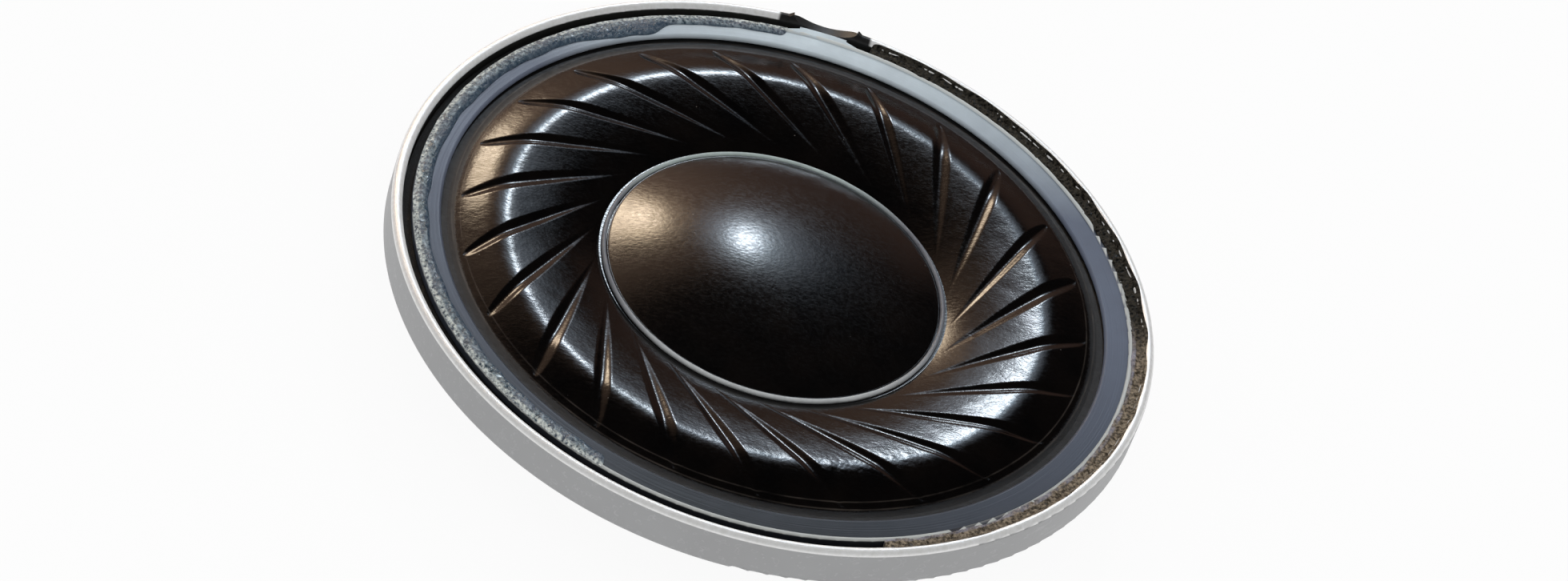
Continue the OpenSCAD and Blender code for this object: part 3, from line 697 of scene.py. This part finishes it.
def group_blotches():
    """Uneven patches of a size in millimetres: fractal noise, stretched, with its middle range
    spread by the contrast to the whole of 0 to 1."""
    tree, given, out = new_group("blotches", Size=1, Contrast=1, Stretch=1, Seed=0)
    wide = add_node(tree, "CombineXYZ", {0: 1.0, 1: given["Stretch"], 2: 1.0}).outputs[0]
    drawn = add_node(tree, "VectorMath", {0: given["Place"], 1: wide}, operation="MULTIPLY")
    scale = calc(tree, "DIVIDE", 1000.0, given["Size"])
    noise = add_node(tree, "TexNoise", {"Vector": drawn.outputs[0], "Scale": scale, "Detail": 3.0,
                                        "Roughness": 0.55, "W": given["Seed"]},
                     noise_dimensions="4D")
    off = calc(tree, "SUBTRACT", noise.outputs[0], 0.5)
    level = times(tree, off, given["Contrast"])
    tree.links.new(spread(tree, level, -0.25, 0.25), out.inputs["Share"])
    return tree


def group_marks():
    """Turned marks: fine noise over the radius, which changes only slowly along the circle."""
    tree, given, out = new_group("turned marks", Spacing=0.1)
    parts = add_node(tree, "SeparateXYZ", {0: given["Place"]}).outputs
    flat = add_node(tree, "CombineXYZ", {0: parts[0], 1: parts[1], 2: 0.0}).outputs[0]
    radius = add_node(tree, "VectorMath", {0: flat}, operation="LENGTH").outputs["Value"]
    rings = times(tree, calc(tree, "DIVIDE", radius, given["Spacing"]), 1000.0)
    along = add_node(tree, "CombineXYZ", {0: rings, 1: times(tree, parts[0], 120.0),
                                          2: times(tree, parts[1], 120.0)}).outputs[0]
    noise = add_node(tree, "TexNoise", {"Vector": along, "Scale": 1.0, "Detail": 2.0})
    tree.links.new(spread(tree, noise.outputs[0], 0.3, 0.7), out.inputs["Share"])
    return tree


def group_scratches():
    """Fine scratches: the narrow middle band of noise that is stretched many times along one
    direction, turned about Z by an angle."""
    tree, given, out = new_group("fine scratches", Spacing=0.2, Turn=0, Seed=0)
    turn = add_node(tree, "CombineXYZ", {2: given["Turn"]}).outputs[0]
    turned = add_node(tree, "Mapping", {"Vector": given["Place"], "Rotation": turn}).outputs[0]
    drawn = add_node(tree, "VectorMath", {0: turned, 1: (1.0, 0.06, 1.0)}, operation="MULTIPLY")
    scale = calc(tree, "DIVIDE", 1000.0, given["Spacing"])
    noise = add_node(tree, "TexNoise", {"Vector": drawn.outputs[0], "Scale": scale, "Detail": 1.0,
                                        "W": given["Seed"]}, noise_dimensions="4D")
    off = calc(tree, "ABSOLUTE", calc(tree, "SUBTRACT", noise.outputs[0], 0.62))
    tree.links.new(spread(tree, off, 0.02, 0.0), out.inputs["Share"])
    return tree


def group_dust():
    """Specks of dust: small discs round scattered points, of which most are left out."""
    tree, given, out = new_group("dust", Spacing=1, Speck=0.1)
    scale = calc(tree, "DIVIDE", 1000.0, given["Spacing"])
    cells = add_node(tree, "TexVoronoi", {"Vector": given["Place"], "Scale": scale})
    disc = spread(tree, cells.outputs["Distance"], given["Speck"],
                  times(tree, given["Speck"], 0.6))
    chosen = calc(tree, "GREATER_THAN",
                  add_node(tree, "SeparateColor", {0: cells.outputs["Color"]}).outputs[0], 0.6)
    tree.links.new(times(tree, disc, chosen), out.inputs["Share"])
    return tree


GROUPS = {"round": group_round(), "window": group_window(), "blotches": group_blotches(),
          "marks": group_marks(), "scratches": group_scratches(), "dust": group_dust()}

# Further off than any bound in a finish
FAR = 1000.0


class Finish:
    """A material in the making: one Principled shader, the place it is read at, and its groups."""

    def __init__(self, name, **constants):
        self.material = bpy.data.materials.new(name)
        self.material.use_nodes = True
        self.tree = self.material.node_tree
        self.shader = self.tree.nodes["Principled BSDF"]
        self.place = add_node(self.tree, "TexCoord").outputs["Object"]
        for key, value in constants.items():
            self.shader.inputs[key.replace("_", " ")].default_value = value

    def effect(self, name, output="Share", **inputs):
        """One of the shared groups, with its own values, read at this material's place."""
        made = add_node(self.tree, "Group", inputs, node_tree=GROUPS[name])
        if "Place" in made.inputs:
            self.tree.links.new(self.place, made.inputs["Place"])
        return made.outputs[output]

    def blotches(self, size, contrast, seed=0.0, stretch=1.0):
        """Share by uneven patches of a size in millimetres."""
        return self.effect("blotches", Size=size, Contrast=contrast, Stretch=stretch, Seed=seed)

    def part(self, axis):
        """One of X, Y and Z of the place, in metres."""
        return add_node(self.tree, "SeparateXYZ", {0: self.place}).outputs[axis]

    def within(self, value, low, high, soft):
        """Share of being between two bounds."""
        return self.effect("window", Value=value, From=low, To=high, Soft=soft)

    def above(self, value, bound, soft):
        """Share of being above a bound."""
        return self.within(value, bound, FAR, soft)

    def below(self, value, bound, soft):
        """Share of being below a bound."""
        return self.within(value, -FAR, bound, soft)

    def times(self, first, second):
        """Product of two values."""
        return times(self.tree, first, second)

    def mix(self, share, first, second):
        """A colour between two."""
        return mix(self.tree, share, first, second)

    def done(self, tone, rough, bump, dull=None):
        """The material with its tone. rough is a share and the roughness at 0 and at 1, to which
        dull is added, and bump is a height and its depth in millimetres."""
        made = add_node(self.tree, "Bump", {"Height": bump[0], "Distance": bump[1] * MM})
        share, low, high = rough
        roughness = spread(self.tree, share, 0.0, 1.0, low, high)
        if dull is not None:
            roughness = calc(self.tree, "ADD", roughness, dull)
        for name, socket in (("Base Color", tone), ("Roughness", roughness),
                             ("Normal", made.outputs[0])):
            self.tree.links.new(socket, self.shader.inputs[name])
        return self.material


# Finishes

# Inner and outer radius of the two fine lines painted on the film as highlights, at y = 0
FILM_HIGHLIGHT_LINES = ((16.84, 16.92), (16.42, 16.48))


def film_finish(name, smooth, grainy, mirror):
    """Dark brown film, smooth in some places and finely grained in others, so that the middle of
    a light stays sharp and lies in a broken haze. Beside the ring it is dull, and two fine pale
    lines are painted round there as highlights, a little further out on the far side."""
    f = Finish(name, Specular_IOR_Level=mirror)
    radius = f.effect("round", "Radius")
    y = f.part("Y")
    # Painted highlights: two fine pale lines beside the ring, moved outwards on the far side as a
    # highlight would be
    lined = calc(f.tree, "SUBTRACT", radius, f.times(y, 20.0))
    lines = calc(f.tree, "ADD", *[f.within(lined, low, high, 0.04) for low, high in FILM_HIGHLIGHT_LINES])
    cloud = f.blotches(2.4, 1.4)
    speckle = f.blotches(0.22, 1.8, seed=3.0, stretch=1.7)
    tone = f.mix(cloud, (0.0012, 0.0010, 0.0010), (0.0034, 0.0024, 0.0020))
    tone = f.mix(f.times(lines, cloud), tone, (0.050, 0.042, 0.036))
    dust = f.effect("dust", Spacing=1.1, Speck=0.035)
    tone = f.mix(dust, tone, (0.10, 0.09, 0.08))
    dull = f.times(f.above(radius, 16.70, 0.15), 0.40)
    return f.done(tone, (speckle, smooth, grainy), (speckle, 0.0020), dull)


def frame_finish():
    """Plated steel: dull grey on the wall, where the grey is painted shade, and bright on the rim's
    top, which is painted light and partly wear. Painted shade darkens the groove, and it is dark at
    the notch's cut edge and on the burrs."""
    f = Finish("plated steel of the frame", Metallic=0.35)
    radius = f.effect("round", "Radius")
    angle = f.effect("round", "Angle")
    height = f.effect("round", "Height")
    x = f.part("X")
    cloud = f.blotches(3.0, 0.8)
    grain = f.blotches(0.22, 1.5, seed=2.0)
    scratch = f.effect("scratches", Spacing=0.35, Turn=0.5)
    # Painted shade: the wall's dull grey stands for the shade on a face that looks sideways
    wall = f.mix(cloud, (0.35, 0.35, 0.355), (0.40, 0.405, 0.41))
    wall = f.mix(f.times(scratch, 0.5), wall, (0.52, 0.52, 0.53))
    # Painted light: the rim's top is much paler than the wall, partly wear
    lit_worn_rim = f.mix(grain, (0.88, 0.88, 0.86), (0.98, 0.98, 0.98))
    raised = calc(f.tree, "ADD", height, spread(f.tree, radius, 19.76, 19.60, 0.0, 0.32))
    on_rim = f.times(f.above(raised, 5.17, 0.03), f.above(radius, WALL_IN_R - 0.02, 0.02))
    tone = f.mix(on_rim, wall, lit_worn_rim)
    # Painted shade: the groove and the wall's inner face are darkened
    in_groove = f.times(f.within(height, 3.75, 5.16, 0.04), f.below(radius, WALL_IN_R + 0.02, 0.02))
    tone = f.mix(in_groove, tone, (0.025, 0.025, 0.022))
    far_side = f.times(f.within(angle, 60.0, 120.0, 1.0), f.above(height, 4.88, 0.03))
    at_notch = f.times(f.below(calc(f.tree, "ABSOLUTE", x), NOTCH_HALF * MM, 0.0001), far_side)
    tone = f.mix(at_notch, tone, (0.02, 0.02, 0.02))
    return f.done(tone, (cloud, 0.38, 0.52), (grain, 0.004))


def ring_finish():
    """Steel of the clamp ring, blue-grey at the middle: painted shade makes it nearly black on the
    near side, and a painted reflection makes it pale on the far side. It has turned marks, and a
    bright lip that is partly wear and partly a painted highlight."""
    f = Finish("blue-grey ring steel", Metallic=0.0, Specular_IOR_Level=0.10)
    height = f.effect("round", "Height")
    y = f.part("Y")
    cloud = f.blotches(1.6, 1.0)
    marks = f.effect("marks", Spacing=0.08)
    # Painted shade on the near side and a painted reflection on the far side: the tone runs from
    # nearly black to pale along Y
    tone = f.mix(spread(f.tree, y, -0.018, 0.002), (0.014, 0.016, 0.019), (0.12, 0.14, 0.19))
    tone = f.mix(spread(f.tree, y, 0.010, 0.019), tone, (0.60, 0.68, 0.72))
    tone = f.mix(f.times(cloud, 0.25), tone, (0.07, 0.07, 0.09))
    # Painted highlight on the raised lip, partly wear
    lip = f.above(height, 5.09, 0.03)
    tone = f.mix(f.times(lip, 0.8), tone, (0.62, 0.64, 0.62))
    return f.done(tone, (marks, 0.26, 0.36), (marks, 0.002))


def pale_glue_finish():
    """Cured glue on the ring: grey-blue, mottled between dark teal and light grey-blue, glossy,
    with a painted shadow along its inner edge and nearly white painted highlights speckled over
    its outer part.
    """
    f = Finish("grey-blue glue", Specular_IOR_Level=0.6)
    fine = f.blotches(0.20, 2.2)
    broad = f.blotches(1.2, 1.4, seed=4.0)
    radius = f.effect("round", "Radius")
    tone = f.mix(fine, (0.020, 0.045, 0.060), (0.30, 0.37, 0.40))
    tone = f.mix(f.times(broad, 0.5), tone, (0.12, 0.13, 0.19))
    # Painted shadow: the bead's inner edge beside the ring is darkened
    tone = f.mix(f.times(f.below(radius, 18.28, 0.05), 0.75), tone, (0.03, 0.06, 0.10))
    # Painted highlights: nearly white speckles on the bead's outer part
    tone = f.mix(f.times(f.above(radius, 18.62, 0.06), fine), tone, (0.72, 0.76, 0.72))
    return f.done(tone, (broad, 0.22, 0.42), (fine, 0.05))


def dark_glue_finish():
    """Dark glue in the groove: black-brown and grainy on one side, olive-brown towards +X and
    round to the front, partly its own tone and partly a painted warm reflection, with a few pale
    grains there that are painted highlights."""
    f = Finish("dark crumbled glue", Specular_IOR_Level=0.15)
    radius = f.effect("round", "Radius")
    angle = f.effect("round", "Angle")
    fine = f.blotches(0.18, 2.4)
    broad = f.blotches(0.9, 1.8, seed=1.0)
    dark = f.mix(fine, (0.004, 0.004, 0.003), (0.045, 0.040, 0.030))
    olive = f.mix(fine, (0.045, 0.034, 0.022), (0.32, 0.26, 0.19))
    # Olive-brown towards the front: partly the glue's own tone, partly a painted reflection
    front = f.within(angle, -90.0, 6.0, 6.0)
    tone = f.mix(front, dark, olive)
    # Painted highlights: pale grains in the front part
    pale = f.times(f.times(f.below(radius, 19.0, 0.05), front), f.times(broad, 0.7))
    tone = f.mix(pale, tone, (0.42, 0.42, 0.52))
    return f.done(tone, (fine, 0.35, 0.7), (fine, 0.05))


def seam_finish():
    """Thin pale glue line: grey-lilac, nearly white on the far side and paler on an arc of the
    near side, partly its own tone and partly a painted reflection.
    """
    f = Finish("pale seam glue", Specular_IOR_Level=0.3)
    angle = f.effect("round", "Angle")
    broad = f.blotches(3.0, 1.6)
    fine = f.blotches(0.25, 1.0, seed=2.0)
    tone = f.mix(broad, (0.10, 0.10, 0.12), (0.16, 0.165, 0.18))
    # Far side and a near arc painted paler: partly the glue's own tone, partly a painted reflection
    tone = f.mix(f.within(angle, 60.0, 150.0, 22.0), tone, (0.42, 0.50, 0.48))
    tone = f.mix(f.within(angle, -135.0, -30.0, 25.0), tone, (0.50, 0.52, 0.52))
    tone = f.mix(f.times(fine, 0.4), tone, (0.26, 0.27, 0.29))
    return f.done(tone, (fine, 0.35, 0.5), (fine, 0.01))


def turned_steel_finish(name, light, dark):
    """Turned steel with fine circular marks and a little tarnish."""
    f = Finish(name, Metallic=0.85)
    marks = f.effect("marks", Spacing=0.12)
    cloud = f.blotches(4.0, 1.2)
    scratch = f.effect("scratches", Spacing=0.5, Turn=0.9)
    tone = f.mix(cloud, dark, light)
    tone = f.mix(f.times(scratch, 0.4), tone, (0.8, 0.8, 0.8))
    return f.done(tone, (marks, 0.24, 0.46), (marks, 0.004))


def mottled_finish(name, first, second, size, low, high, depth, metal):
    """A surface of two close tones in patches of a size, whose roughness goes by the patches, with
    a finer grain in its tone and its bump."""
    f = Finish(name, Metallic=metal)
    patches = f.blotches(size, 1.5)
    grain = f.blotches(size / 6, 1.2, seed=7.0)
    tone = f.mix(f.times(grain, 0.5), f.mix(patches, first, second), second)
    return f.done(tone, (patches, low, high), (grain, depth))


def winding_finish():
    """Enamelled copper: fine lines of the turns, one above the other, over the tone of the wire."""
    f = Finish("enamelled copper", Metallic=0.9)
    height = f.effect("round", "Height")
    turns = calc(f.tree, "SINE", f.times(height, 2 * math.pi / WIRE_D))
    cloud = f.blotches(0.8, 1.0)
    tone = f.mix(cloud, (0.50, 0.19, 0.08), (0.66, 0.29, 0.13))
    return f.done(tone, (cloud, 0.22, 0.36), (spread(f.tree, turns, -1.0, 1.0), 0.01))


def board_finish():
    """Brown fibre board with crossed threads under its resin."""
    f = Finish("brown fibre board", Specular_IOR_Level=0.4)
    along = f.effect("scratches", Spacing=0.25, Turn=0.0)
    across = f.effect("scratches", Spacing=0.25, Turn=math.pi / 2, Seed=3.0)
    cloud = f.blotches(1.8, 1.1)
    threads = calc(f.tree, "MAXIMUM", along, across)
    tone = f.mix(cloud, (0.20, 0.095, 0.030), (0.31, 0.165, 0.060))
    tone = f.mix(f.times(threads, 0.45), tone, (0.42, 0.26, 0.11))
    return f.done(tone, (cloud, 0.38, 0.56), (threads, 0.008))


def felt_finish():
    """Thin black felt: short fibres at every angle."""
    f = Finish("black felt", Specular_IOR_Level=0.1, Sheen_Weight=0.3)
    one = f.effect("scratches", Spacing=0.16, Turn=0.4)
    two = f.effect("scratches", Spacing=0.16, Turn=1.9, Seed=5.0)
    fibres = calc(f.tree, "MAXIMUM", one, two)
    tone = f.mix(fibres, (0.012, 0.012, 0.013), (0.055, 0.055, 0.058))
    return f.done(tone, (fibres, 0.85, 0.98), (fibres, 0.03))


# For a node: the finish's name, its two tones, the size of its patches, its lowest and highest
# roughness, the depth of its bump, and whether it is metal
MOTTLED = {
    "spacer_ring": ("black fibre", (0.008,) * 3, (0.02,) * 3, 0.4, 0.7, 0.9, 0.02, 0),
    "coil_former": ("amber former", (0.42, 0.22, 0.06), (0.58, 0.36, 0.12), 1.0, 0.25, 0.4, 0.004, 0),
    "magnet": ("nickel plate", (0.48, 0.47, 0.45), (0.60, 0.59, 0.56), 1.5, 0.18, 0.32, 0.003, 1),
    "solder_pads": ("copper foil", (0.50, 0.22, 0.09), (0.68, 0.36, 0.17), 0.5, 0.25, 0.45, 0.004, 1),
    "terminal_rivets": ("tinned brass", (0.52, 0.44, 0.24), (0.66, 0.62, 0.46), 0.5, 0.25, 0.42,
                        0.004, 1),
    "solder_joints": ("bright solder", (0.50, 0.50, 0.52), (0.70, 0.70, 0.71), 0.45, 0.16, 0.34,
                      0.006, 1),
}
CLEAR_GLUE = ("yellowed clear glue", (0.40, 0.31, 0.13), (0.56, 0.47, 0.24), 0.6, 0.12, 0.3, 0.01, 0)
CLEAR_GLUE_NODES = ("lead_anchors", "plate_bond", "magnet_bond", "yoke_adhesive")


def finish_cad_nodes():
    """Gives every CAD node that still shows its own finish, and returns the wire's."""
    clear = mottled_finish(*CLEAR_GLUE)
    wire = winding_finish()
    finishes = {
        "frame": frame_finish(),
        "front_ring": ring_finish(),
        "voice_coil": wire,
        "pole_plate": turned_steel_finish("plated steel of the plate", (0.55, 0.56, 0.58),
                                          (0.38, 0.39, 0.41)),
        "yoke": turned_steel_finish("plated steel of the yoke", (0.62, 0.63, 0.65),
                                    (0.42, 0.43, 0.45)),
        "damping_felt": felt_finish(),
        "terminal_board": board_finish(),
    }
    finishes.update({node: clear for node in CLEAR_GLUE_NODES})
    finishes.update({node: mottled_finish(*row) for node, row in MOTTLED.items()})
    for node, finish in finishes.items():
        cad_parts[node].material_slots[0].material = finish
    return wire


# Stage and light

# Directions from the loudspeaker to the lights of the room
COOL_WAY = (0.022, 0.789, 0.614)
WARM_WAY = (-0.345, 0.803, 0.486)
WINDOW_LOW = (-0.374, 0.817, 0.438)
WINDOW_HIGH = (-0.383, 0.767, 0.515)
HALO_WAY = (-0.370, 0.790, 0.480)
WALL_WAY = (-0.42, 0.70, 0.50)
LAMP_DISTANCE = 0.6
FLOOR_HALF = 3000
FLOOR_Z = -0.01


def make_floor():
    """A wide pale floor under the yoke. What looks at it straight, in a mirror or through glass
    sees it white, and it keeps a soft shadow of the loudspeaker."""
    corners = [[-1, -1], [1, -1], [1, 1], [-1, 1]]
    points = [[x * FLOOR_HALF, y * FLOOR_HALF, FLOOR_Z] for x, y in corners]
    floor = make_mesh("floor", points, [[0, 1, 2, 3]])
    mat = bpy.data.materials.new("pale floor")
    mat.use_nodes = True
    tree = mat.node_tree
    tree.nodes.clear()
    out = add_node(tree, "OutputMaterial")
    paper = add_node(tree, "BsdfDiffuse", {"Color": (0.86, 0.86, 0.86, 1)})
    white = add_node(tree, "Emission", {"Color": (1, 1, 1, 1), "Strength": 1.0})
    share = times(tree, backdrop_rays(tree), 0.93)
    both = add_node(tree, "MixShader", {0: share, 1: paper.outputs[0], 2: white.outputs[0]})
    tree.links.new(both.outputs[0], out.inputs["Surface"])
    floor.data.materials.append(mat)


def backdrop_rays(tree):
    """1 for rays of the camera, of gloss and of glass, 0 for all others."""
    path = add_node(tree, "LightPath").outputs
    seen = calc(tree, "MAXIMUM", path["Is Camera Ray"], path["Is Glossy Ray"])
    return calc(tree, "MAXIMUM", seen, path["Is Transmission Ray"])


def make_lamp(name, direction, radius, radiance, colour):
    """A round soft lamp that faces the loudspeaker from the given direction. A disc of radius a
    and radiance L gives off a power of L (pi a)^2."""
    data = bpy.data.lights.new(name, "AREA")
    data.shape = "DISK"
    data.size = 2 * radius
    data.energy = radiance * (math.pi * radius) ** 2
    data.color = colour
    lamp = bpy.data.objects.new(name, data)
    away = Vector(direction).normalized()
    lamp.location = away * LAMP_DISTANCE + Vector((0, 0, RIM_Z * MM))
    lamp.rotation_euler = away.to_track_quat("Z", "Y").to_euler()
    scene.collection.objects.link(lamp)


def make_light():
    """A small cool softbox and a warm lamp, both on the far side."""
    make_lamp("cool softbox", COOL_WAY, 0.028, 46.0, (0.88, 0.94, 1.0))
    make_lamp("warm lamp", WARM_WAY, 0.014, 24.0, (1.0, 0.86, 0.68))


def make_world():
    """White behind everything for the camera and for glass. Gloss sees a dark room: a cool glow
    round the softbox, a warm window with a halo, the wall that it lights, a dim band below, and
    white low on the near side. All other rays get an even soft light."""
    world = bpy.data.worlds.new("studio")
    scene.world = world
    world.use_nodes = True
    tree = world.node_tree
    tree.nodes.clear()
    out = add_node(tree, "OutputWorld")
    path = add_node(tree, "LightPath").outputs
    where = add_node(tree, "TexCoord").outputs["Generated"]
    height = add_node(tree, "SeparateXYZ", {0: where}).outputs[2]

    def along(direction):
        """How far a ray runs in a direction: the cosine of the angle between them."""
        way = tuple(Vector(direction).normalized())
        made = add_node(tree, "VectorMath", {0: where, 1: way}, operation="DOT_PRODUCT")
        return made.outputs["Value"]

    def glow(direction, wide, full):
        """1 up to the angle full from a direction, falling smoothly to 0 at the angle wide."""
        angle = calc(tree, "ARCCOSINE", along(direction))
        return spread(tree, angle, math.radians(wide), math.radians(full), smooth=True)

    def add(first, share, colour):
        """A colour times a share, added to what is there."""
        return add_node(tree, "VectorMath", {0: mix(tree, share, (0, 0, 0), colour), 1: first},
                        operation="ADD").outputs[0]

    left = spread(tree, along((math.cos(0.42), -math.sin(0.42), 0)), 0.08, -0.08, smooth=True)
    below_roof = spread(tree, height, 0.89, 0.74, smooth=True)
    low = times(tree, spread(tree, height, 0.56, 0.34, smooth=True),
                spread(tree, along((0, 1, 0)), 0.0, 0.4, smooth=True))
    near = times(tree, spread(tree, height, 0.35, 0.05, smooth=True),
                 spread(tree, along((0, 1, 0)), 0.1, -0.4, smooth=True))
    lit_wall = times(tree, glow(WALL_WAY, 42, 8), below_roof)
    window = calc(tree, "MAXIMUM", glow(WINDOW_LOW, 6.4, 4.6), glow(WINDOW_HIGH, 6.2, 4.6))
    tone = mix(tree, near, (0.005, 0.005, 0.007), (1.0, 1.0, 1.0))
    tone = add(tone, times(tree, left, low), (0.17, 0.10, 0.075))
    tone = add(tone, times(tree, left, lit_wall), (0.75, 0.49, 0.34))
    tone = add(tone, window, (11.0, 8.9, 6.3))
    tone = add(tone, glow(HALO_WAY, 14, 5), (1.8, 1.29, 0.90))
    tone = add(tone, glow(COOL_WAY, 15, 3), (2.1, 2.5, 3.0))
    tone = add(tone, glow(COOL_WAY, 5.6, 2), (4.5, 6.5, 8.0))
    white, even, in_gloss = (
        add_node(tree, "Background", {"Color": colour, "Strength": strength}).outputs[0]
        for colour, strength in (((1, 1, 1, 1), 1.0), ((1, 1, 1, 1), 0.78), (tone, 1.0)))
    inner = add_node(tree, "MixShader", {0: path["Is Glossy Ray"], 1: even, 2: in_gloss})
    seen = calc(tree, "MAXIMUM", path["Is Camera Ray"], path["Is Transmission Ray"])
    both = add_node(tree, "MixShader", {0: seen, 1: inner.outputs[0], 2: white})
    tree.links.new(both.outputs[0], out.inputs["Surface"])


make_world()
make_light()
make_floor()
copper = finish_cad_nodes()
make_roll(film_finish("moulded film of the roll", 0.10, 0.19, 0.35))
make_dome(film_finish("moulded film of the dome", 0.13, 0.23, 0.50))
make_seam(seam_finish())
make_bead(pale_glue_finish())
make_fill(dark_glue_finish())
make_leads(copper)

scene.view_settings.view_transform = "Standard"
